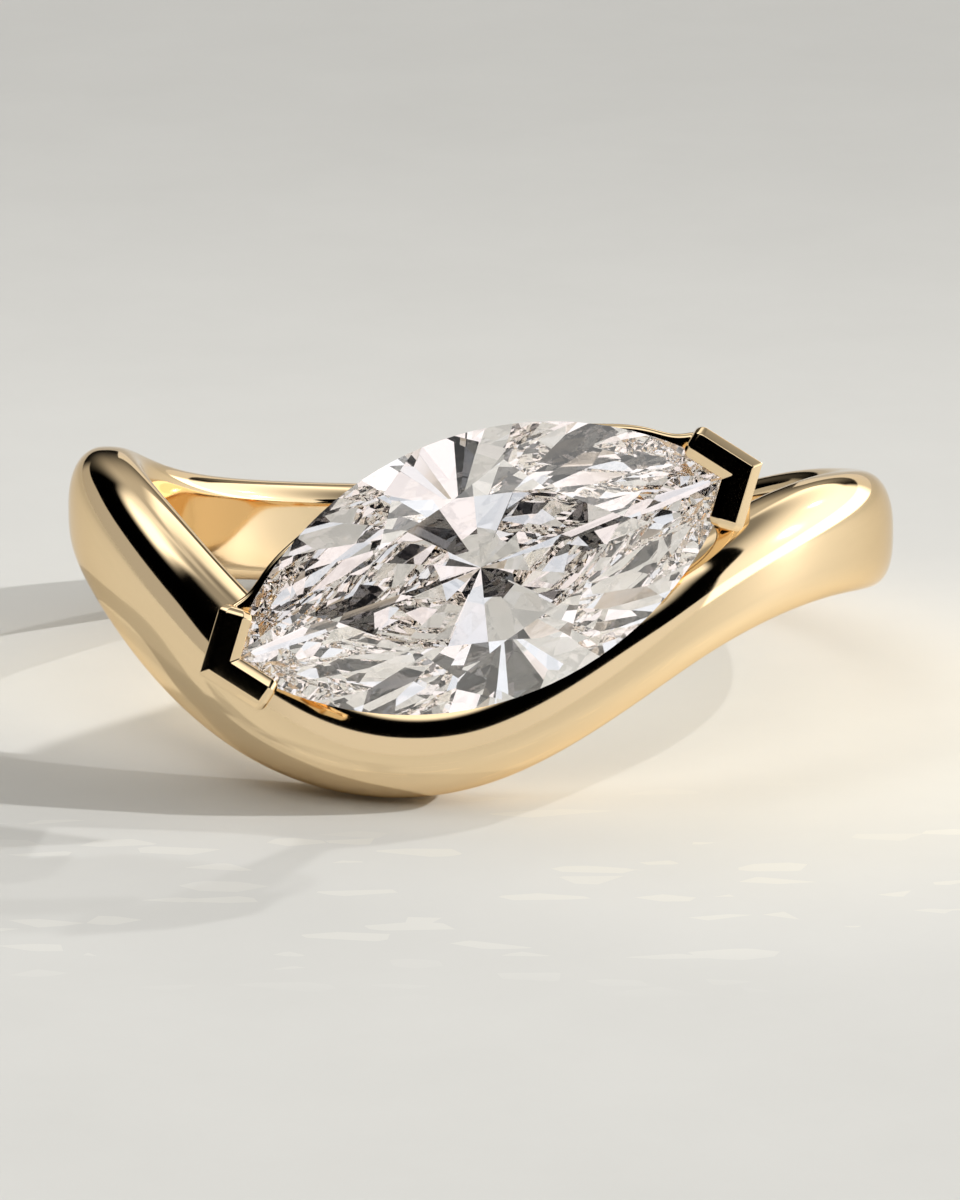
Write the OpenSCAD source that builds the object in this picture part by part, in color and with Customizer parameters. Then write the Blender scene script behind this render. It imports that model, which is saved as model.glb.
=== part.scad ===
// Solitaire engagement ring: a marquise stone held by two V-prongs on a waved band, lying on its side.
// Millimetres, +Z up. The origin is on the surface the ring lies on, under the middle of its box.

/* [Finger] */
// Inside diameter of the band
finger_d = 16.5; // [16:0.1:17]

/* [Band] */
// Radial thickness of the band
band_thick = 1.8; // [1.6:0.05:2]
// How far the finger's axis leans back when the ring lies on its side, in degrees
rest_tilt = 10; // [9:0.5:11]

/* [Stone] */
// Length of the stone, point to point
stone_len = 12.4; // [11.8:0.1:13]
// Width of the stone across its middle
stone_wid = 6.15; // [5.9:0.05:6.4]
// Height of the crown above the girdle's middle
crown_h = 0.95; // [0.8:0.05:1.1]
// Depth of the pavilion below the girdle's middle
pavilion_h = 2.78; // [2.4:0.02:2.8]
// Thickness of the girdle
girdle_t = 0.12; // [0.1:0.01:0.2]
// Size of the table as a part of the outline
table_part = 0.56; // [0.5:0.01:0.62]
// Turn of the stone's long axis from level, in degrees
stone_turn = 20.5; // [18:0.5:23]
// Distance of the girdle from the finger's axis
girdle_r = 11.6; // [11.5:0.05:12]
// How far the stone's face is turned up from square to the finger's radius, in degrees
head_tilt = 5; // [3:0.5:6]
// Height of the stone's centre in the band's own frame
stone_rise = 4.15; // [4:0.01:4.3]
// Gap between the stone and the metal
stone_gap = 0.04; // [0.02:0.01:0.08]

/* [Prongs and rail] */
// Width of a prong's leg, seen from the front
prong_wall = 0.52; // [0.44:0.02:0.6]
// Length of a prong's leg along its outer edge
prong_leg = 1.7; // [1.5:0.05:1.8]
// Height of the prongs above the girdle's middle
prong_over = 0.4; // [0.2:0.05:0.5]
// Height of the full-width part of each prong
prong_cap = 1.35; // [1.25:0.05:1.6]
// Width of the gallery rail, seen from the front
rail_wid = 0.5; // [0.4:0.05:0.6]
// Depth of the gallery rail
rail_deep = 0.8; // [0.6:0.05:1]
// How far the rail's front lies below the girdle's middle
rail_drop = 0.85; // [0.75:0.05:0.95]

/* [Hidden] */
$fn = 96;

gold = [0.90, 0.74, 0.42];
diamond = [0.88, 0.92, 0.96];

// Control values of three closed cubic splines round the finger, in equal steps from the front
// towards the right: the height of the band's middle, half of its width, and how far above the
// middle the bevel of the outer upper edge starts, where 1.6 leaves no bevel.
RISE = 0;
HALF_WIDTH = 1;
BEVEL_START = 2;
band_stations = [
    [-0.75, 1.10, 1.6],
    [3.20, 1.20, -0.5],
    [4.35, 1.45, 2.6],
    [3.75, 1.45, 1.6],
    [3.74, 1.25, 1.6],
    [2.38, 1.10, 1.6],
    [2.88, 1.05, 1.6],
    [2.85, 1.25, 1.6],
    [3.40, 1.30, 1.6],
    [4.90, 1.35, 1.6],
    [3.60, 1.70, 1.6],
    [0.00, 1.50, 1.6],
];
stations = len(band_stations);

finger_r = finger_d / 2;
band_r = finger_r + band_thick / 2;
// The sweep dips this far inside the finger hole, and the hole cuts it back to a true cylinder.
bore_allow = 0.14;
// Exponents of the band's rounded section, where 2 is an ellipse: each quarter has its own.
round_out_top = 2.3;
round_out_bottom = 3;
round_in_top = 2.8;
round_in_bottom = 4;
// Slope of the bevel in degrees, and how softly the outer face turns into it
bevel_slope = 24;
bevel_soft = 0.022;
band_steps = 144;
section_steps = 28;
// Turn of the finger hole's seam round its axis
bore_seam = 30;

// Stone outline: two equal arcs. Their radius, and how far their centres lie from the long axis
arc_r = (pow(stone_len / 2, 2) + pow(stone_wid / 2, 2)) / stone_wid;
arc_off = arc_r - stone_wid / 2;
// Angle of the outline to the long axis at a point
tip_angle = asin(stone_len / 2 / arc_r);
// Directions of the main facets and of the girdle facets, in degrees from the long axis
main_dirs = [0, 62, 90];
girdle_dirs = [40, 52, 69, 83];
// How much steeper the girdle facets are than a main facet in their direction would be, in degrees
upper_extra = [7, 5, 5, 6];
lower_extra = [2.2, 2.4, 2.4, 2.2];
// Slopes of the star facets, from the points to the middle
star_slopes = [16, 21];

// Legs of the prongs, a row each: the end of the stone (0 right, 1 left), the side of its long axis,
// and where the leg's stem stands in the band, as the angle round the finger and the height above
// the band's middle.
END = 0;
SIDE = 1;
TURN = 2;
LIFT = 3;
legs = [
    [0, 1, 41, 1.2],
    [0, -1, 39, 1.4],
    [1, 1, 318, -0.1],
    [1, -1, 319, 0.2],
];
foot_r = 0.36;
// Length of the leg's part that a stem takes up, how much slimmer the stem is, and how far it runs
// up inside the leg
stem_len = 1.05;
stem_inset = 0.03;
stem_root = 0.2;

// The rail follows the stone this far inside its outline, swells out past it over the last stretch,
// and runs out to the prongs from the bend on.
rail_inset = 0.02;
rail_swell = 0.22;
rail_swell_start = 3.3;
rail_swell_run = 1.6;
rail_bend = 4.6;
rail_bend_rise = 1.42;
rail_run_fall = 0.2;
rail_half = 5.95;
rail_softness = 14;
rail_steps = 40;

function station(i, column) = band_stations[(i + stations) % stations][column];

// Value of a column at an angle round the finger, in degrees from the front
function along(angle, column) =
    let (
        t = angle / 360 * stations,
        i = floor(t),
        f = t - i,
        a = station(i - 1, column),
        b = station(i, column),
        c = station(i + 1, column),
        d = station(i + 2, column)
    )
    (pow(1 - f, 3) * a + (3 * pow(f, 3) - 6 * f * f + 4) * b
        + (-3 * pow(f, 3) + 3 * f * f + 3 * f + 1) * c + pow(f, 3) * d) / 6;

// Angle of the band's middle to level, on the unrolled cylinder
function slope(angle) =
    let (step = 0.5)
    atan2(along(angle + step, RISE) - along(angle - step, RISE), band_r * 2 * step * PI / 180);

function signed_pow(x, e) = sign(x) * pow(abs(x), e);

function round_of(c, s) =
    s >= 0 ? (c >= 0 ? round_out_top : round_out_bottom) : (c >= 0 ? round_in_top : round_in_bottom);

function soft_min(a, b, soft) = min(a, b) - soft * ln(1 + exp(-abs(a - b) / soft));

// Rounded section at an angle of its own: [across, outward], as parts of the half sizes
function section(angle) =
    let (
        c = cos(angle),
        s = sin(angle),
        e = 2 / round_of(c, s)
    )
    [signed_pow(c, e), signed_pow(s, e)];

// A point of the band: the section stands square to the band's middle on the unrolled cylinder
function band_point(angle, across, outward) =
    let (
        lean = slope(angle),
        u = across * along(angle, HALF_WIDTH),
        full_r = band_r + outward * (band_thick / 2 + (outward < 0 ? bore_allow : 0)),
        bevel_r = band_r + band_thick / 2 - (u - along(angle, BEVEL_START)) * tan(bevel_slope),
        r = soft_min(full_r, bevel_r, bevel_soft),
        turn = angle - u * sin(lean) / band_r * 180 / PI
    )
    [r * sin(turn), -r * cos(turn), along(angle, RISE) + u * cos(lean)];

band_points = [
    for (i = [0:band_steps - 1])
        for (j = [0:section_steps - 1])
            let (s = section((j + 0.5) * 360 / section_steps))
            band_point(i * 360 / band_steps, s[0], s[1])
];

// Triangles of a closed tube of rings
function ring_faces(rings, sides) =
    [
        for (i = [0:rings - 1])
            for (j = [0:sides - 1])
                let (
                    k = (i + 1) % rings,
                    m = (j + 1) % sides,
                    a = i * sides + j,
                    b = i * sides + m,
                    c = k * sides + m,
                    d = k * sides + j
                )
                each [[a, c, b], [a, d, c]]
    ];

// Rest pose: the finger's axis leans back, and the lowest point of the band touches the surface
function lean_back(p) =
    [
        p[0],
        p[1] * cos(rest_tilt) + p[2] * sin(rest_tilt),
        -p[1] * sin(rest_tilt) + p[2] * cos(rest_tilt)
    ];
rest_points = [for (p = band_points) lean_back(p)];
floor_z = min([for (p = rest_points) p[2]]);
back_y = max([for (p = rest_points) p[1]]);

// Farthest reach of the stone's outline in a direction from 0 to 90 degrees
function reach(direction) =
    direction < 90 - tip_angle ? stone_len / 2 * cos(direction) : arc_r - arc_off * sin(direction);

// Foremost point at rest: the table's lower edge, this far up the stone's face from its centre
table_low = -table_part * reach(90 - stone_turn);
front_y = lean_back([
    0,
    -girdle_r + table_low * sin(head_tilt) - crown_h * cos(head_tilt),
    stone_rise + table_low * cos(head_tilt) + crown_h * sin(head_tilt),
])[1];
mid_y = (front_y + back_y) / 2;

// Point of the outline that faces a direction
function outline_point(direction) =
    direction < 90 - tip_angle
        ? [stone_len / 2, 0]
        : [arc_r * cos(direction), arc_r * sin(direction) - arc_off];

// The same direction in all four quarters of the outline
function around(direction) =
    direction == 0 ? [0, 180]
    : direction == 90 ? [90, 270]
    : [direction, 180 - direction, 180 + direction, 360 - direction];

// A facet is [direction, distance from the axis, height there, slope]; a negative slope faces down.
function main_facets() = [
    for (m = main_dirs)
        let (
            d = reach(m),
            crown = atan2(crown_h - girdle_t / 2, (1 - table_part) * d),
            pavilion = atan2(pavilion_h - girdle_t / 2, d)
        )
        for (a = around(m))
            each [[a, d, girdle_t / 2, crown], [a, d, -girdle_t / 2, -pavilion]]
];

function girdle_facets() = [
    for (i = [0:len(girdle_dirs) - 1])
        let (
            d = reach(girdle_dirs[i]),
            crown = atan2(crown_h - girdle_t / 2, (1 - table_part) * d) + upper_extra[i],
            pavilion = atan2(pavilion_h - girdle_t / 2, d) + lower_extra[i]
        )
        for (a = around(girdle_dirs[i]))
            each [[a, d, girdle_t / 2, crown], [a, d, -girdle_t / 2, -pavilion]]
];

function star_facets() = [
    for (i = [0:len(main_dirs) - 2])
        let (
            p = outline_point(main_dirs[i]) * table_part,
            q = outline_point(main_dirs[i + 1]) * table_part,
            direction = atan2(p[0] - q[0], q[1] - p[1]),
            d = p[0] * cos(direction) + p[1] * sin(direction)
        )
        for (a = around(direction))
            [a, d, crown_h, star_slopes[i]]
];

facets = concat(main_facets(), girdle_facets(), star_facets());

// Soft step from 0 to 1
function soft_step(t) = let (c = max(0, min(1, t))) c * c * (3 - 2 * c);

// Rail's outer edge: a soft maximum of the line along the stone and the straight run to the prongs
function rail_edge(x) =
    let (
        swell = rail_swell * soft_step((abs(x) - rail_swell_start) / rail_swell_run),
        stone_line = max(sqrt(arc_r * arc_r - x * x) - arc_off - rail_inset + swell, 0.1),
        run_out = rail_bend_rise - rail_run_fall * (abs(x) - rail_bend)
    )
    pow(pow(stone_line, rail_softness) + pow(run_out, rail_softness), 1 / rail_softness);

module at_rest() {
    translate([0, -mid_y, -floor_z])
        rotate([-rest_tilt, 0, 0])
            children();
}

// Head frame: x along the stone, y across it, z out of the ring, zero on the girdle at the stone's centre
module at_head() {
    translate([0, -girdle_r, stone_rise])
        rotate([90 - head_tilt, 0, 0])
            rotate([0, 0, stone_turn])
                children();
}

module band() {
    polyhedron(points = band_points, faces = ring_faces(band_steps, section_steps), convexity = 10);
}

module finger_hole() {
    translate([0, 0, -finger_r])
        rotate([0, 0, bore_seam])
            cylinder(r = finger_r, h = 3 * finger_r, $fn = 180);
}

// One leg of a V-prong as a flat outline of the given length, from the V's point
module leg_outline(side, length) {
    inner_tip = stone_len / 2 + stone_gap / sin(tip_angle);
    outer_tip = inner_tip + prong_wall / sin(tip_angle);
    run = [-cos(tip_angle), side * sin(tip_angle)];
    inward = [-sin(tip_angle), -side * cos(tip_angle)];
    tip = [outer_tip, 0];
    polygon([
        tip,
        tip + run * length,
        tip + run * length + inward * prong_wall,
        [inner_tip, 0],
    ]);
}

module prong_cap() {
    translate([0, 0, prong_over - prong_cap])
        linear_extrude(height = prong_cap)
            union() {
                leg_outline(1, prong_leg);
                leg_outline(-1, prong_leg);
            }
}

// Stem from inside the back of a leg down into the band
module prong_stem(leg) {
    hull() {
        at_head()
            rotate([0, 0, leg[END] * 180])
                translate([0, 0, prong_over - prong_cap])
                    linear_extrude(height = stem_root)
                        offset(delta = -stem_inset)
                            leg_outline(leg[SIDE], stem_len);
        translate([
            band_r * sin(leg[TURN]),
            -band_r * cos(leg[TURN]),
            along(leg[TURN], RISE) + leg[LIFT],
        ])
            sphere(r = foot_r, $fn = 24);
    }
}

module gallery_rail() {
    outer = [
        for (i = [0:rail_steps])
            let (x = rail_half * (2 * i / rail_steps - 1))
            [x, rail_edge(x)]
    ];
    inner = [for (i = [rail_steps:-1:0]) outer[i] - [0, rail_wid]];
    translate([0, 0, -rail_drop - rail_deep])
        linear_extrude(height = rail_deep)
            polygon(concat(outer, inner));
}

module band_and_prongs() {
    color(gold)
        at_rest()
            difference() {
                union() {
                    band();
                    for (leg = legs)
                        prong_stem(leg);
                    at_head() {
                        for (end = [0, 1])
                            rotate([0, 0, end * 180])
                                prong_cap();
                        gallery_rail();
                    }
                }
                finger_hole();
            }
}

// Half space outside a facet
module facet_waste(facet) {
    big = 3 * stone_len;
    lean = facet[3] > 0 ? facet[3] : 180 + facet[3];
    rotate([0, 0, facet[0]])
        translate([facet[1], 0, facet[2]])
            rotate([0, lean, 0])
                translate([-big / 2, -big / 2, 0])
                    cube(big);
}

// The stone's blank with the first facets cut, one after another
module cut_stone(count) {
    if (count == 0)
        translate([0, 0, -pavilion_h])
            linear_extrude(height = pavilion_h + crown_h)
                intersection() {
                    translate([0, -arc_off])
                        circle(r = arc_r);
                    translate([0, arc_off])
                        circle(r = arc_r);
                }
    else
        difference() {
            cut_stone(count - 1);
            facet_waste(facets[count - 1]);
        }
}

module stone() {
    color(diamond)
        at_rest()
            at_head()
                cut_stone(len(facets));
}

band_and_prongs();
stone();
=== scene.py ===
import math

import bmesh
import bpy
import numpy as np
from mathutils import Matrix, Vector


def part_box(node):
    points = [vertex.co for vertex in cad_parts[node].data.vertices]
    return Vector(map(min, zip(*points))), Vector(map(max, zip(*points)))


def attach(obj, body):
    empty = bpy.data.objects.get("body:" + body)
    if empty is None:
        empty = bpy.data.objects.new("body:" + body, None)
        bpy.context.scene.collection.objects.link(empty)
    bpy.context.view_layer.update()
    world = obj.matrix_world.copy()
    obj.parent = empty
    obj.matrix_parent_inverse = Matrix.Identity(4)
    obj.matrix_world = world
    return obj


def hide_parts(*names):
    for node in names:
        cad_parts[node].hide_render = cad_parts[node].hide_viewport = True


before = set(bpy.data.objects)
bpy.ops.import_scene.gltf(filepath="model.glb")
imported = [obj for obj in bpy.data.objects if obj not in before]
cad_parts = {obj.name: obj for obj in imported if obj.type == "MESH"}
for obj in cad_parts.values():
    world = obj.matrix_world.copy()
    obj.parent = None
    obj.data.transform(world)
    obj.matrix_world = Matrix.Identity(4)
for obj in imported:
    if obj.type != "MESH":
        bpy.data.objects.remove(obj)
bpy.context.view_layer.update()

# A solitaire ring on its side: a waved gold band, two V-prongs, a gallery rail and a marquise stone.
# Shapes are worked out in millimetres in the band's own frame, whose z axis is the finger's, and
# at_rest() lays them down. Meshes and everything else are in metres.

MM = 0.001

# Band
FINGER_R = 8.25
BAND_THICK = 1.8
BAND_R = FINGER_R + BAND_THICK / 2
REST_TILT = math.radians(10)
# The sweep dips this far inside the finger hole, and is held on its wall this softly
BORE_ALLOW, BORE_SOFT = 0.14, 0.02
# Control values of closed splines round the finger, in equal steps from the front to the right:
# height of the band's middle, half of its width, and how far above the middle the bevel starts
BAND_RISE = [-0.75, 3.20, 4.35, 3.75, 3.74, 2.38, 2.88, 2.85, 3.40, 4.90, 3.60, 0.00]
BAND_HALF_WIDTH = [1.10, 1.20, 1.45, 1.45, 1.25, 1.10, 1.05, 1.25, 1.30, 1.35, 1.70, 1.50]
BEVEL_START = [1.6, -0.5, 2.6] + [1.6] * 9
BEVEL_SLOPE, BEVEL_SOFT = math.radians(24), 0.022
# Exponents of the rounded section, where 2 is an ellipse: each quarter has its own
ROUND_OUT_TOP, ROUND_OUT_BOTTOM, ROUND_IN_TOP, ROUND_IN_BOTTOM = 2.3, 3.0, 2.8, 4.0

# Stone
STONE_LEN, STONE_WID = 12.4, 6.15
CROWN_H, PAVILION_H, GIRDLE_T = 0.95, 2.78, 0.12
TABLE_PART = 0.56
STONE_TURN = math.radians(20.5)
GIRDLE_R = 11.6
STONE_RISE = 4.15
HEAD_TILT = math.radians(5)
# The outline is two equal arcs: their radius, how far their centres lie from the long axis, and the
# outline's angle to that axis at a point
ARC_R = ((STONE_LEN / 2) ** 2 + (STONE_WID / 2) ** 2) / STONE_WID
ARC_OFF = ARC_R - STONE_WID / 2
TIP = math.asin(STONE_LEN / 2 / ARC_R)
# Facets, in degrees: direction from the long axis, and how much steeper than the straight line there
# from the girdle to the table's edge, or to the culet
CROWN_FACETS = [(0, 0), (62, 0), (90, 0), (40, 7), (52, 5), (69, 5), (83, 6)]
PAVILION_FACETS = [(0, 0), (50, 0), (64, 0), (78, 0), (90, 0),
                   (41, 1.5), (45, 1.3), (55, 1.3), (59, 1.3), (69, 1.3), (73, 1.3), (82, 1.2), (86, 1.2)]
# Star facets, in degrees: the two main directions that one lies between, and its slope
STAR_FACETS = [(0, 62, 16), (62, 90, 21)]
# Directions of the girdle's flats, in degrees
GIRDLE_DIRS = range(39, 91, 3)
# Corners closer than this are one corner, and facets that turn less than this are one facet
SAME_CORNER, SAME_FACET = 0.0003, math.radians(0.05)

# Prongs
STONE_GAP = 0.04
PRONG_WALL, PRONG_LEG, PRONG_OVER, PRONG_CAP = 0.52, 1.7, 0.4, 1.35
# Section of a leg, a corner a row: distance in from the outer face, height, and the corner's radius
PRONG_SECTION = [
    [0, -0.95, 0.02], [0, 0.23, 0.05], [0.19, 0.4, 0.06], [0.6, 0.4, 0.06],
    [0.8, 0.29, 0.03], [0.8, 0.23, 0.02], [0.52, 0.07, 0.03], [0.52, -0.95, 0.02],
]
SECTION_MID, SECTION_SIZE = np.array([0.4, -0.27]), np.array([0.8, 1.35])
# Radius of a leg's rounded end, how far from it and from the V's point the section repeats, and
# one more place along the leg that has it
END_ROUND, REPEAT_BY_END, REPEAT_BY_TIP, LEG_MIDDLE = 0.2, 0.02, 0.04, 0.8

# Stems: where one starts along the leg's outer and inner side, where it ends, how far it stays within
# both sides, the radius of its corners, how far its top stands in the leg, and its foot's radius
STEM_OUTER_START, STEM_INNER_START, STEM_LEN, STEM_INSET = 0.15, 0.4, 1.03, 0.02
STEM_CORNER, STEM_ROOT, FOOT_R = 0.1, 0.2, 0.33
# Name, end of the stone (0 right, 1 left), leg of the V, and the foot's place in the band: degrees
# round the finger and height above the band's middle. The left V is the right one turned half round,
# so leg 1 is the upper one on the right and the lower one on the left.
STEMS = [
    ("stem_right_upper", 0, 1, 41, 1.2),
    ("stem_right_lower", 0, -1, 39, 1.4),
    ("stem_left_lower", 1, 1, -42, -0.1),
    ("stem_left_upper", 1, -1, -41, 0.2),
]

# Rail: its section and half of its length, how far inside the stone's outline it runs, and its swell
RAIL_WID, RAIL_DEEP, RAIL_DROP, RAIL_CORNER, RAIL_HALF = 0.5, 0.8, 0.85, 0.12, 5.95
RAIL_INSET, RAIL_SWELL, RAIL_SWELL_START, RAIL_SWELL_RUN = 0.02, 0.22, 3.3, 1.6
# Its run to the prongs: a place along the stone, how far out it is there, and its fall per millimetre.
# A power joins the run to the line along the stone, and a higher one makes the bend sharper.
RAIL_BEND, RAIL_BEND_OUT, RAIL_FALL, RAIL_POWER = 4.6, 1.42, 0.2, 14


# Shapes

def spline(values, angle):
    """Closed uniform cubic B-spline: each control value weighs in over four steps round the circle."""
    values = np.asarray(values, float)
    t = np.asarray(angle, float) / (2 * math.pi) * len(values)
    i = np.floor(t).astype(int)
    f = t - i
    a, b, c, d = (values[(i + k) % len(values)] for k in (-1, 0, 1, 2))
    return ((1 - f) ** 3 * a + (3 * f ** 3 - 6 * f ** 2 + 4) * b
            + (-3 * f ** 3 + 3 * f ** 2 + 3 * f + 1) * c + f ** 3 * d) / 6


def lean_back(p):
    """Turns points about the x axis so that the finger's axis leans back by the rest tilt."""
    c, s = math.cos(REST_TILT), math.sin(REST_TILT)
    x, y, z = np.moveaxis(np.asarray(p, float), -1, 0)
    return np.stack([x, y * c + z * s, -y * s + z * c], -1)


def band_grid(steps, sides):
    """Waved band: a rounded section stands square to the band's middle line on the unrolled cylinder
    and is carried round it. A bevel cuts its outer upper edge by a soft minimum, and its inner side
    is held on the finger's radius by a soft maximum."""
    turn = np.arange(steps)[:, None] * 2 * math.pi / steps
    around = (np.arange(sides)[None, :] + 0.5) * 2 * math.pi / sides
    c, s = np.cos(around), np.sin(around)
    power = 2 / np.where(s >= 0, np.where(c >= 0, ROUND_OUT_TOP, ROUND_OUT_BOTTOM),
                         np.where(c >= 0, ROUND_IN_TOP, ROUND_IN_BOTTOM))
    across = np.sign(c) * np.abs(c) ** power
    outward = np.sign(s) * np.abs(s) ** power
    # The middle line's slope on the unrolled cylinder, measured over one degree
    step = math.radians(0.5)
    lean = np.arctan2(spline(BAND_RISE, turn + step) - spline(BAND_RISE, turn - step), BAND_R * 2 * step)
    u = across * spline(BAND_HALF_WIDTH, turn)
    raw = BAND_R + outward * (BAND_THICK / 2 + np.where(outward < 0, BORE_ALLOW, 0))
    bevel = FINGER_R + BAND_THICK - (u - spline(BEVEL_START, turn)) * math.tan(BEVEL_SLOPE)
    raw = -BEVEL_SOFT * np.logaddexp(-raw / BEVEL_SOFT, -bevel / BEVEL_SOFT)
    r = FINGER_R + BORE_SOFT * np.logaddexp(0, (raw - FINGER_R) / BORE_SOFT)
    a = turn - u * np.sin(lean) / BAND_R
    return np.stack([r * np.sin(a), -r * np.cos(a), spline(BAND_RISE, turn) + u * np.cos(lean)], -1)


# The band rests where the CAD's metal does: on the floor, and as far back
band_points = band_grid(steps=900, sides=104)
resting = lean_back(band_points)
metal_low, metal_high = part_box("band_and_prongs")
shift = np.array([0, metal_high.y / MM - resting[..., 1].max(), metal_low.z / MM - resting[..., 2].min()])


def at_rest(p):
    """Lays the ring's own frame down into the scene's frame, in metres."""
    return (lean_back(p) + shift) * MM


def at_head(p):
    """Head frame to the band's own frame: x along the stone, y across it, z out of the ring."""
    x, y, z = np.moveaxis(np.asarray(p, float), -1, 0)
    c, s = math.cos(STONE_TURN), math.sin(STONE_TURN)
    up_c, up_s = math.cos(HEAD_TILT), math.sin(HEAD_TILT)
    u = x * s + y * c
    return np.stack([x * c - y * s, -GIRDLE_R + u * up_s - z * up_c, STONE_RISE + u * up_c + z * up_s], -1)


def tube_faces(rings, sides, closed):
    """Quads between neighbouring rings of points; an open tube gets a polygon at each end."""
    i = np.arange(rings if closed else rings - 1)[:, None]
    j = np.arange(sides)[None, :]
    k, m = (i + 1) % rings, (j + 1) % sides
    quads = np.stack([i * sides + j, k * sides + j, k * sides + m, i * sides + m], -1).reshape(-1, 4).tolist()
    if not closed:
        quads += [list(range(sides)), list(range((rings - 1) * sides, rings * sides))[::-1]]
    return quads


def make_piece(name, points, faces, smooth=True):
    """Mesh object at the origin from points in metres, with its faces turned outwards."""
    points = np.asarray(points).reshape(-1, 3)
    mesh = bpy.data.meshes.new(name)
    mesh.from_pydata(points.tolist(), [], faces)
    mesh.validate()
    mesh.calc_loop_triangles()
    triangles = np.empty(len(mesh.loop_triangles) * 3, np.int32)
    mesh.loop_triangles.foreach_get("vertices", triangles)
    a, b, c = points[triangles.reshape(-1, 3).T]
    if np.einsum("ij,ij->i", a, np.cross(b, c)).sum() < 0:
        mesh.flip_normals()
    mesh.polygons.foreach_set("use_smooth", [smooth] * len(mesh.polygons))
    obj = bpy.data.objects.new(name, mesh)
    bpy.context.scene.collection.objects.link(obj)
    return obj


def rounded_outline(corners, steps=7):
    """Closed outline whose corners are arcs: each row of corners is x, y and the corner's radius."""
    pts = np.asarray(corners, float)[:, :2]
    radii = np.asarray(corners, float)[:, 2]
    before = np.roll(pts, 1, 0) - pts
    after = np.roll(pts, -1, 0) - pts
    before /= np.linalg.norm(before, axis=1)[:, None]
    after /= np.linalg.norm(after, axis=1)[:, None]
    half = np.arccos(np.clip((before * after).sum(1), -1, 1)) / 2
    middle_line = (before + after) / np.linalg.norm(before + after, axis=1)[:, None]
    centre = pts + middle_line * (radii / np.sin(half))[:, None]
    start = pts + before * (radii / np.tan(half))[:, None] - centre
    end = pts + after * (radii / np.tan(half))[:, None] - centre
    t = np.linspace(0, 1, steps)[None, :, None]
    bow = math.pi - 2 * half[:, None, None]
    arc = (np.sin((1 - t) * bow) * start[:, None] + np.sin(t * bow) * end[:, None]) / np.sin(bow)
    return (centre[:, None] + arc).reshape(-1, 2)


def leg_lines(side):
    """The V's outer point, and a leg's directions along itself and inwards from its outer face."""
    inner_tip = STONE_LEN / 2 + STONE_GAP / math.sin(TIP)
    outer_tip = inner_tip + PRONG_WALL / math.sin(TIP)
    return (np.array([outer_tip, 0.0]),
            np.array([-math.cos(TIP), side * math.sin(TIP)]),
            np.array([-math.sin(TIP), -side * math.cos(TIP)]))


def prong_points(end):
    """V-prong: one rounded section carried along the V, mitred at its point, with both ends rounded
    over. The section repeats beside each rounding and mitre, which keeps its flats' shading flat."""
    section = rounded_outline(PRONG_SECTION)
    outer, run, inward = leg_lines(1)
    # Distances along the leg, and how far the section shrinks towards its middle there
    full = PRONG_LEG - END_ROUND
    quarter = np.linspace(0, math.pi / 2, 7)[::-1]
    stations = [(full + END_ROUND * math.sin(a), END_ROUND * (1 - math.cos(a))) for a in quarter]
    stations += [(full - REPEAT_BY_END, 0), (LEG_MIDDLE, 0)]
    leg = []
    for along, shrink in stations:
        s = SECTION_MID + (section - SECTION_MID) * (1 - 2 * shrink / SECTION_SIZE)
        leg.append(np.c_[outer + run * along + inward * s[:, :1], s[:, 1]])
    # Mitre: where the section's lines from both legs meet on the V's middle line
    tip = np.c_[outer[0] - section[:, 0] / math.sin(TIP), np.zeros(len(section)), section[:, 1]]
    leg.append(tip + [*(run * REPEAT_BY_TIP), 0])
    other_leg = [ring * [1, -1, 1] for ring in leg[::-1]]
    points = np.array(leg + [tip] + other_leg)
    return points * [-1, -1, 1] if end else points


def stem_points(end, side, turn, lift):
    """Stem: straight lines from a rounded section at the leg's back to a round foot in the band."""
    outer, run, inward = leg_lines(side)
    outer_face, inner_face = inward * STEM_INSET, inward * (PRONG_WALL - STEM_INSET)
    corners = [outer + run * STEM_OUTER_START + outer_face, outer + run * STEM_LEN + outer_face,
               outer + run * STEM_LEN + inner_face, outer + run * STEM_INNER_START + inner_face]
    top = rounded_outline([[*corner, STEM_CORNER] for corner in corners], 9)
    if end:
        top = -top
    top = at_head(np.c_[top, np.full(len(top), PRONG_OVER - PRONG_CAP + STEM_ROOT)])
    a = math.radians(turn)
    foot = np.array([BAND_R * math.sin(a), -BAND_R * math.cos(a), float(spline(BAND_RISE, a)) + lift])
    axis = foot - top.mean(0)
    axis /= np.linalg.norm(axis)
    flat = top - top.mean(0)
    flat -= (flat @ axis)[:, None] * axis
    bottom = foot + flat / np.linalg.norm(flat, axis=1)[:, None] * FOOT_R
    t = np.linspace(0, 1, 24)[:, None, None]
    return top * (1 - t) + bottom * t


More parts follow.
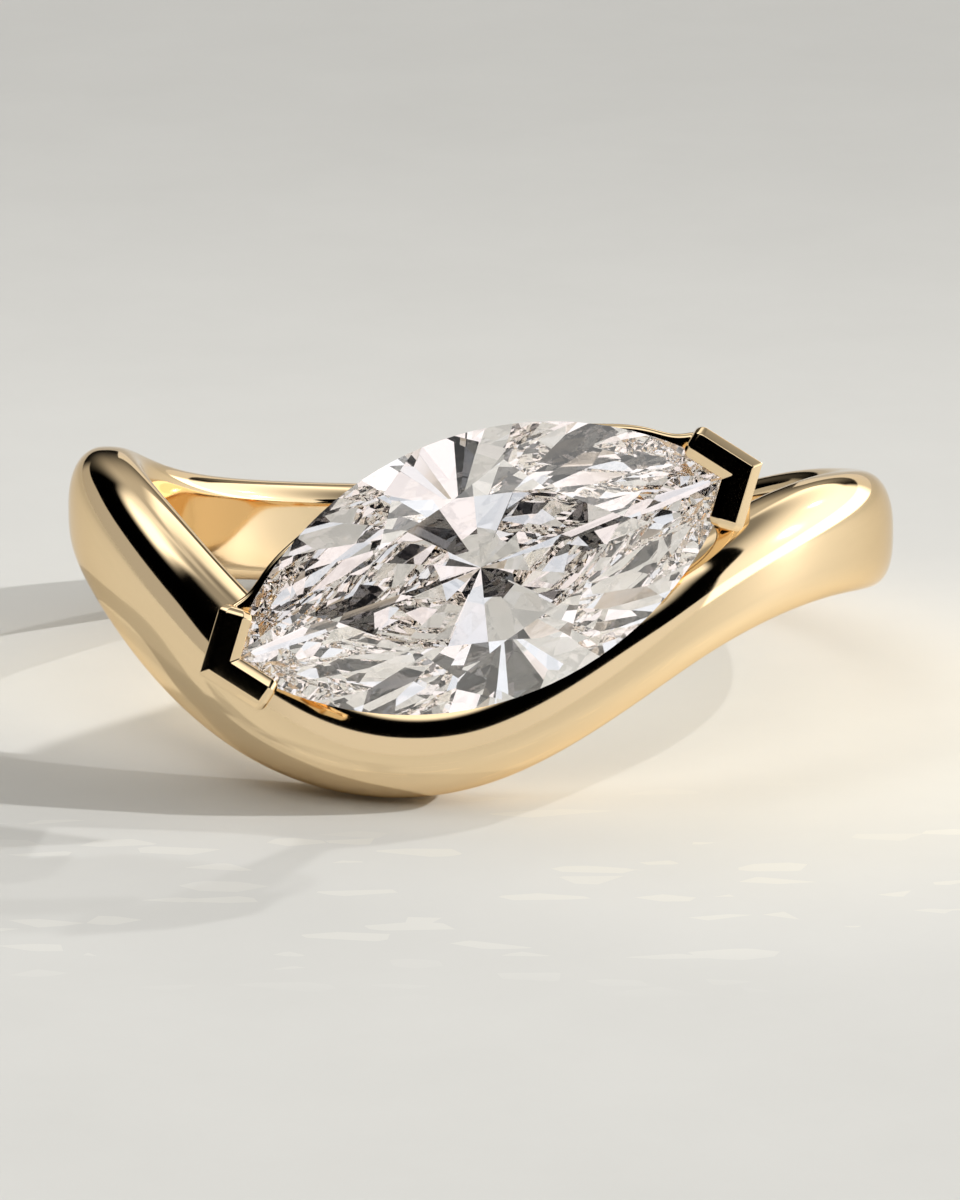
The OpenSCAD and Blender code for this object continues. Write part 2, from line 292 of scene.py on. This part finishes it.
def rail_points():
    """Gallery rail: a rounded section carried along the line behind the stone's upper edge, a soft
    maximum of the line along the stone and the straight run to the prongs."""
    x = np.linspace(-RAIL_HALF, RAIL_HALF, 160)
    t = np.clip((np.abs(x) - RAIL_SWELL_START) / RAIL_SWELL_RUN, 0, 1)
    swell = RAIL_SWELL * t * t * (3 - 2 * t)
    stone_line = np.maximum(np.sqrt(ARC_R ** 2 - x ** 2) - ARC_OFF - RAIL_INSET + swell, 0.1)
    run_out = RAIL_BEND_OUT - RAIL_FALL * (np.abs(x) - RAIL_BEND)
    y = (stone_line ** RAIL_POWER + run_out ** RAIL_POWER) ** (1 / RAIL_POWER)
    front, back = -RAIL_DROP, -RAIL_DROP - RAIL_DEEP
    section = rounded_outline([
        [0, back, RAIL_CORNER], [0, front, RAIL_CORNER], [-RAIL_WID, front, RAIL_CORNER],
        [-RAIL_WID, back, RAIL_CORNER],
    ])
    return np.stack([np.repeat(x[:, None], len(section), 1), y[:, None] + section[None, :, 0],
                     np.repeat(section[None, :, 1], len(x), 0)], -1)


# Stone

def reach(direction):
    """Farthest reach of the two-arc outline in a direction from the long axis."""
    if direction < math.pi / 2 - TIP:
        return STONE_LEN / 2 * math.cos(direction)
    return ARC_R - ARC_OFF * math.sin(direction)


def outline_point(direction):
    """Point of the outline that faces a direction."""
    if direction < math.pi / 2 - TIP:
        return np.array([STONE_LEN / 2, 0.0])
    return np.array([ARC_R * math.cos(direction), ARC_R * math.sin(direction) - ARC_OFF])


def quarters(direction):
    """The same direction in all four quarters of the outline."""
    full = [direction, math.pi - direction, math.pi + direction, -direction]
    return sorted({round(a % (2 * math.pi), 9) for a in full})


def stone_planes():
    """Facet planes as rows of a unit normal and its distance from the girdle's centre."""
    planes = []

    def cut(direction, distance, height, slope):
        lean = abs(slope)
        normal = np.array([math.sin(lean) * math.cos(direction), math.sin(lean) * math.sin(direction),
                           math.copysign(math.cos(lean), slope)])
        at = np.array([distance * math.cos(direction), distance * math.sin(direction), height])
        planes.append([*normal, normal @ at])

    half = GIRDLE_T / 2
    for deg, extra in CROWN_FACETS:
        d = reach(math.radians(deg))
        crown = math.atan2(CROWN_H - half, (1 - TABLE_PART) * d) + math.radians(extra)
        for a in quarters(math.radians(deg)):
            cut(a, d, half, crown)
    for deg, extra in PAVILION_FACETS:
        d = reach(math.radians(deg))
        pavilion = math.atan2(PAVILION_H - half, d) + math.radians(extra)
        for a in quarters(math.radians(deg)):
            cut(a, d, -half, -pavilion)
    for first, second, slope in STAR_FACETS:
        p = outline_point(math.radians(first)) * TABLE_PART
        q = outline_point(math.radians(second)) * TABLE_PART
        direction = math.atan2(p[0] - q[0], q[1] - p[1])
        d = p[0] * math.cos(direction) + p[1] * math.sin(direction)
        for a in quarters(direction):
            cut(a, d, CROWN_H, math.radians(slope))
    planes.append([0, 0, 1, CROWN_H])
    for deg in GIRDLE_DIRS:
        for a in quarters(math.radians(deg)):
            planes.append([math.cos(a), math.sin(a), 0, reach(math.radians(deg))])
    return np.array(planes)


def solid_of_planes(planes):
    """Convex solid: every three planes give a corner, kept where it is inside all the others, and the
    solid is the hull of the corners, whose flat triangles join into whole facets."""
    n, d = planes[:, :3], planes[:, 3]
    i, j, k = np.array([(a, b, c) for a in range(len(d)) for b in range(a + 1, len(d))
                        for c in range(b + 1, len(d))]).T
    cross = np.cross(n[j], n[k])
    det = np.einsum("ij,ij->i", n[i], cross)
    # Three planes that nearly share a line don't meet in one point
    meet = np.abs(det) > 1e-6
    i, j, k, cross, det = i[meet], j[meet], k[meet], cross[meet], det[meet]
    point = d[i, None] * cross + d[j, None] * np.cross(n[k], n[i]) + d[k, None] * np.cross(n[i], n[j])
    point /= det[:, None]
    point = point[np.linalg.norm(point, axis=1) < STONE_LEN]
    keep = np.ones(len(point), bool)
    for normal, dist in zip(n, d):
        keep[keep] = point[keep] @ normal < dist + 1e-7
    mesh = bpy.data.meshes.new("corners")
    mesh.from_pydata(np.unique(np.round(point[keep], 4), axis=0).tolist(), [], [])
    hull = bmesh.new()
    hull.from_mesh(mesh)
    bmesh.ops.remove_doubles(hull, verts=hull.verts, dist=SAME_CORNER)
    bmesh.ops.convex_hull(hull, input=hull.verts)
    bmesh.ops.dissolve_limit(hull, angle_limit=SAME_FACET, verts=hull.verts, edges=hull.edges)
    hull.verts.index_update()
    corners = np.array([v.co for v in hull.verts])
    faces = [[v.index for v in face.verts] for face in hull.faces]
    hull.free()
    bpy.data.meshes.remove(mesh)
    return corners, faces


# Materials

class Value:
    """A socket, with operators that add the Math nodes of an expression."""

    def __init__(self, shader, socket):
        self.shader, self.socket = shader, socket

    def _with(self, operation, a, b):
        return self.shader.node("ShaderNodeMath", {"operation": operation}, {0: a, 1: b})

    def __add__(self, other):
        return self._with("ADD", self, other)

    def __sub__(self, other):
        return self._with("SUBTRACT", self, other)

    def __rsub__(self, other):
        return self._with("SUBTRACT", other, self)

    def __mul__(self, other):
        return self._with("MULTIPLY", self, other)

    def __neg__(self):
        return self._with("MULTIPLY", self, -1.0)

    __radd__, __rmul__ = __add__, __mul__

    def rise(self, start, end):
        """0 below start and 1 above end, with a soft step between them; falls where end is the lower."""
        up = start < end
        return self.shader.node("ShaderNodeMapRange", {"interpolation_type": "SMOOTHSTEP"}, {
            "Value": self, "From Min": min(start, end), "From Max": max(start, end),
            "To Min": 0.0 if up else 1.0, "To Max": 1.0 if up else 0.0})

    def between(self, start, full, fade, end):
        """1 between full and fade and 0 outside start and end."""
        return self.rise(start, full) * self.rise(end, fade)


class Shader:
    """Node tree of one material or world."""

    def __init__(self, owner):
        owner.use_nodes = True
        self.tree = owner.node_tree
        self.tree.nodes.clear()

    def node(self, kind, settings=None, sockets=None, out=0):
        """Adds a node: its settings first, then the values or links of its sockets."""
        made = self.tree.nodes.new(kind)
        for key, value in (settings or {}).items():
            if key == "stops":
                ramp = made.color_ramp
                while len(ramp.elements) < len(value):
                    ramp.elements.new(0.5)
                for element, (at, colour) in zip(ramp.elements, value):
                    element.position, element.color = at, (*colour, 1)
            else:
                setattr(made, key, value)
        for key, value in (sockets or {}).items():
            if isinstance(value, Value):
                self.tree.links.new(value.socket, made.inputs[key])
            else:
                made.inputs[key].default_value = value
        return Value(self, made.outputs[out]) if made.outputs else None


def polished_gold():
    """Polished yellow gold: fine hand-polishing haze and faint warmer and cooler patches."""
    material = bpy.data.materials.new("polished_gold")
    s = Shader(material)
    place = s.node("ShaderNodeTexCoord", out="Object")
    patches = s.node("ShaderNodeTexNoise", {}, {"Vector": place, "Scale": 160.0, "Detail": 2.0})
    haze = s.node("ShaderNodeTexNoise", {}, {"Vector": place, "Scale": 2400.0, "Detail": 3.0})
    tone = s.node("ShaderNodeMix", {"data_type": "RGBA"}, {
        "Factor": patches, "A": (0.945, 0.73, 0.45, 1), "B": (0.96, 0.755, 0.485, 1)}, out="Result")
    bump = s.node("ShaderNodeBump", {}, {"Height": haze, "Strength": 0.012, "Distance": 0.00002})
    surface = s.node("ShaderNodeBsdfPrincipled", {}, {
        "Base Color": tone, "Metallic": 1.0, "Specular Tint": (0.87, 0.79, 0.67, 1),
        "Roughness": 0.045 + 0.03 * haze, "Normal": bump})
    s.node("ShaderNodeOutputMaterial", {}, {"Surface": surface})
    return material


def clear_diamond():
    """Clear diamond, with a trace of warmth that drifts through the stone."""
    material = bpy.data.materials.new("clear_diamond")
    s = Shader(material)
    place = s.node("ShaderNodeTexCoord", out="Object")
    drift = s.node("ShaderNodeTexNoise", {}, {"Vector": place, "Scale": 300.0, "Detail": 1.0})
    tint = s.node("ShaderNodeMix", {"data_type": "RGBA"},
                  {"Factor": drift, "A": (1.0, 1.0, 1.0, 1), "B": (1.0, 0.985, 0.97, 1)}, out="Result")
    glass = s.node("ShaderNodeBsdfPrincipled", {}, {
        "Base Color": tint, "Roughness": 0.0, "IOR": 2.417, "Transmission Weight": 1.0})
    mirror = s.node("ShaderNodeBsdfPrincipled", {}, {"Base Color": tint, "Roughness": 0.0, "Metallic": 1.0})
    # Light already in the stone turns back at every facet below the girdle
    inside = s.node("ShaderNodeNewGeometry", out="Backfacing")
    top, middle = at_rest(at_head([[0, 0, 1], [0, 0, 0]]))
    out_of_ring = (top - middle) / MM
    height = s.node("ShaderNodeVectorMath", {"operation": "DOT_PRODUCT"},
                    {0: place, 1: tuple(out_of_ring)}, out="Value")
    below = s.node("ShaderNodeMath", {"operation": "LESS_THAN"}, {0: height, 1: float(middle @ out_of_ring)})
    cut = s.node("ShaderNodeMixShader", {}, {0: below * inside, 1: glass, 2: mirror})
    # The stone stays out of the gold's reflections, and lets most of the light through in its shadow
    glossy = s.node("ShaderNodeLightPath", out="Is Glossy Ray")
    entered = s.node("ShaderNodeLightPath", out="Transmission Depth")
    shadow = s.node("ShaderNodeLightPath", out="Is Shadow Ray")
    open_way = s.node("ShaderNodeBsdfTransparent")
    passing = glossy * entered.rise(0.6, 0.4) + 0.7 * shadow
    surface = s.node("ShaderNodeMixShader", {}, {0: passing, 1: cut, 2: open_way})
    s.node("ShaderNodeOutputMaterial", {}, {"Surface": surface})
    return material


def pale_stone_floor():
    """Pale matt floor with soft clouds, with painted shade that makes it dimmer towards the back, and with a
    painted, warmer glow on both sides of the ring and faint painted light patches before it, for the light
    that the gold and the stone throw."""
    material = bpy.data.materials.new("pale_floor")
    s = Shader(material)
    place = s.node("ShaderNodeTexCoord", out="Object")
    x, y = (s.node("ShaderNodeSeparateXYZ", {}, {0: place}, out=axis) for axis in "XY")
    clouds = s.node("ShaderNodeTexNoise", {}, {
        "Vector": place, "Scale": 140.0, "Detail": 6.0, "Roughness": 0.65})
    tone = s.node("ShaderNodeMix", {"data_type": "RGBA"}, {
        "Factor": clouds, "A": (0.632, 0.627, 0.600, 1), "B": (0.694, 0.689, 0.661, 1)}, out="Result")
    # Painted light patches: a few cells of a pattern that is stretched sideways are brightened before the
    # ring
    wide = s.node("ShaderNodeVectorMath", {"operation": "MULTIPLY"}, {
        0: place, 1: (1.0, 3.0, 1.0)}, out="Vector")
    cells = s.node("ShaderNodeTexVoronoi", {}, {"Vector": wide, "Scale": 720.0}, out="Color")
    painted_patch_cells = s.node("ShaderNodeSeparateColor", {}, {0: cells}, out="Red").rise(0.915, 0.935)
    before_ring = x.between(-0.020, -0.008, 0.012, 0.020) * y.between(-0.023, -0.018, -0.011, -0.006)
    patches = painted_patch_cells * before_ring
    # Distance from the middle of the painted glow on the right, and of the one on the left
    right, left = (
        s.node("ShaderNodeVectorMath", {"operation": "DISTANCE"}, {0: place, 1: centre}, out="Value")
        for centre in ((0.008, -0.004, 0), (-0.0085, 0.001, 0)))
    glow = right.rise(0.018, 0.002) + 0.65 * left.rise(0.009, 0.002)
    # Painted shade darkens the floor towards the back and a little towards the front, and the painted glow
    # and light patches brighten it
    painted_light_and_shade = 1 - 0.25 * y.rise(0.004, 0.075) - 0.05 * y.rise(-0.012, -0.045) + 0.215 * glow + 0.085 * patches
    # The painted glow and light patches also tint the floor warmer
    painted_glow_warmth = (0.8 * glow + 0.3 * patches).rise(0, 1)
    tone = s.node("ShaderNodeMix", {"data_type": "RGBA", "blend_type": "MULTIPLY"},
                  {"Factor": painted_glow_warmth, "A": tone, "B": (1.0, 0.98, 0.925, 1)}, out="Result")
    tone = s.node("ShaderNodeVectorMath", {"operation": "SCALE"}, {0: tone, "Scale": painted_light_and_shade}, out="Vector")
    surface = s.node("ShaderNodeBsdfPrincipled", {}, {
        "Base Color": tone, "Roughness": 0.75, "Specular IOR Level": 0.2})
    s.node("ShaderNodeOutputMaterial", {}, {"Surface": surface})
    return material


gold = polished_gold()
diamond = clear_diamond()


# Pieces

def gold_piece(name, points, closed=False):
    """Tube of gold through rings of points, standing in for its share of the metal."""
    rings, sides = points.shape[:2]
    obj = make_piece(name, points, tube_faces(rings, sides, closed))
    obj.data.materials.append(gold)
    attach(obj, "root")
    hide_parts("band_and_prongs")


gold_piece("waved_band", at_rest(band_points), closed=True)
for end, name in enumerate(("prong_right", "prong_left")):
    gold_piece(name, at_rest(at_head(prong_points(end))))
gold_piece("gallery_rail", at_rest(at_head(rail_points())))
for name, *stem in STEMS:
    gold_piece(name, at_rest(stem_points(*stem)))

corners, facets = solid_of_planes(stone_planes())
stone = make_piece("marquise_stone", at_rest(at_head(corners)), facets, smooth=False)
stone.data.materials.append(diamond)
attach(stone, "root")
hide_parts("stone")


# Studio

FLOOR_HALF = 1.5
floor_corners = np.array([[-1, -1, 0], [1, -1, 0], [1, 1, 0], [-1, 1, 0]]) * FLOOR_HALF
floor = make_piece("studio_floor", floor_corners, [[0, 1, 2, 3]])
floor.data.materials.append(pale_stone_floor())

# Tones of the panels that show through the stone, over the values of a noise
PANEL_TONES = [
    (0.0, (0, 0, 0)), (0.476, (.01, .01, .012)), (0.48, (.30, .26, .22)), (0.489, (.62, .53, .42)),
    (0.495, (1.15, 1.06, 1.05)), (0.56, (1.3, 1.22, 1.23)), (0.61, (.90, .95, 1.04)), (1.0, (1.5, 1.5, 1.5)),
]
PANEL_PLACE, PANEL_SCALE = (1.0, 0.7, 1.3), 3.2


def studio_world():
    """Dark studio with a low pale backdrop nearly all round, soft boxes high on the left, on the right
    and above the front, a glow behind and a pale dome. Rays that come out of the stone see a made
    pattern of dark and bright panels in its place."""
    world = bpy.data.worlds.new("studio")
    s = Shader(world)
    way = s.node("ShaderNodeTexCoord", out="Generated")
    x, y, z = (s.node("ShaderNodeSeparateXYZ", {}, {0: way}, out=axis) for axis in "XYZ")
    # Where the light comes from: degrees round from the front towards the right, and degrees up
    turn = s.node("ShaderNodeMath", {"operation": "ARCTAN2"}, {0: x, 1: -y}) * math.degrees(1)
    up = s.node("ShaderNodeMath", {"operation": "ARCSINE"}, {0: z}) * math.degrees(1)
    # Low backdrop, dimmer on the left and brighter on the right, with a clean upper edge
    edge = 9 + 4.2 * turn.between(-156, -130, -84, -72) + 2 * turn.between(-72, -50, -20, 0)
    brightness = 0.48 + 0.27 * turn.rise(-80, -45) + 0.08 * turn.rise(0, 40)
    backdrop = brightness * (up - edge).rise(0.4, -0.4) * turn.rise(-162, -152)
    behind = 0.55 * (turn.rise(-148, -178) + turn.rise(152, 172)) * up.rise(0, 30) * up.rise(88, 62)
    left_box = 2.0 * turn.rise(-76, -98) * turn.rise(-195, -120) * up.rise(36, 50) * up.rise(80, 58)
    right_box = ((1.08 + 0.7 * turn.rise(55, 120)) * (turn - 61 - 12 * up.rise(18, 34)).rise(0, 2)
                 * (turn - 146 - 20 * up.rise(16, 27)).rise(8, 0) * up.rise(72, 14))
    front_box = 1.3 * turn.between(-60, -52, 50, 58) * up.between(35, 44, 62, 80)
    dome = 0.33 * up.rise(55, 75)
    light = backdrop + behind + left_box + right_box + front_box + dome
    sky = s.node("ShaderNodeVectorMath", {"operation": "SCALE"}, {
        0: (1.0, 0.985, 0.955), "Scale": light}, out="Vector")
    through = s.node("ShaderNodeLightPath", out="Is Transmission Ray")
    moved = s.node("ShaderNodeVectorMath", {"operation": "ADD"}, {0: way, 1: PANEL_PLACE}, out="Vector")
    panels = s.node("ShaderNodeTexNoise", {}, {"Vector": moved, "Scale": PANEL_SCALE, "Detail": 1.0})
    panel_tone = s.node("ShaderNodeValToRGB", {"stops": PANEL_TONES}, {0: panels})
    sky = s.node("ShaderNodeMix", {"data_type": "RGBA"}, {
        "Factor": through, "A": sky, "B": panel_tone}, out="Result")
    backing = s.node("ShaderNodeBackground", {}, {"Color": sky, "Strength": 1.0})
    s.node("ShaderNodeOutputWorld", {}, {"Surface": backing})
    return world


bpy.context.scene.world = studio_world()

# Two lamps: name, energy, degrees up from the floor, degrees round from the right towards the back
for name, energy, above, round_back in (("key", 3.15, 19, 4), ("kicker", 0.8, 29, 31)):
    lamp = bpy.data.lights.new(name, "SUN")
    lamp.energy, lamp.angle = energy, math.radians(1)
    lamp_obj = bpy.data.objects.new(name, lamp)
    lamp_obj.rotation_euler = (0, math.radians(90 - above), math.radians(round_back))
    bpy.context.scene.collection.objects.link(lamp_obj)

# Camera, square to the stone's side of the ring: how steeply it looks down, and in millimetres how far
# off it is and the point that it looks at, counted from the band frame's origin on the finger's axis
CAMERA_DOWN, CAMERA_FAR = math.radians(16.59), 200
LOOKED_AT = [-0.02, 0, 2.15]
camera = bpy.data.cameras.new("camera")
camera.sensor_width = 36
camera.lens = 246.2
camera.clip_start, camera.clip_end = 0.01, 10
camera_obj = bpy.data.objects.new("camera", camera)
away = np.array([0, -math.cos(CAMERA_DOWN), math.sin(CAMERA_DOWN)])
camera_obj.location = (np.array(LOOKED_AT) + shift + CAMERA_FAR * away) * MM
camera_obj.rotation_euler = (math.pi / 2 - CAMERA_DOWN, 0, 0)
bpy.context.scene.collection.objects.link(camera_obj)
bpy.context.scene.camera = camera_obj
bpy.context.scene.view_settings.view_transform = "Standard"
# Light turns back many times inside the stone before it leaves
cycles = bpy.context.scene.cycles
cycles.max_bounces = cycles.transmission_bounces = cycles.glossy_bounces = 48

bpy.context.view_layer.update()
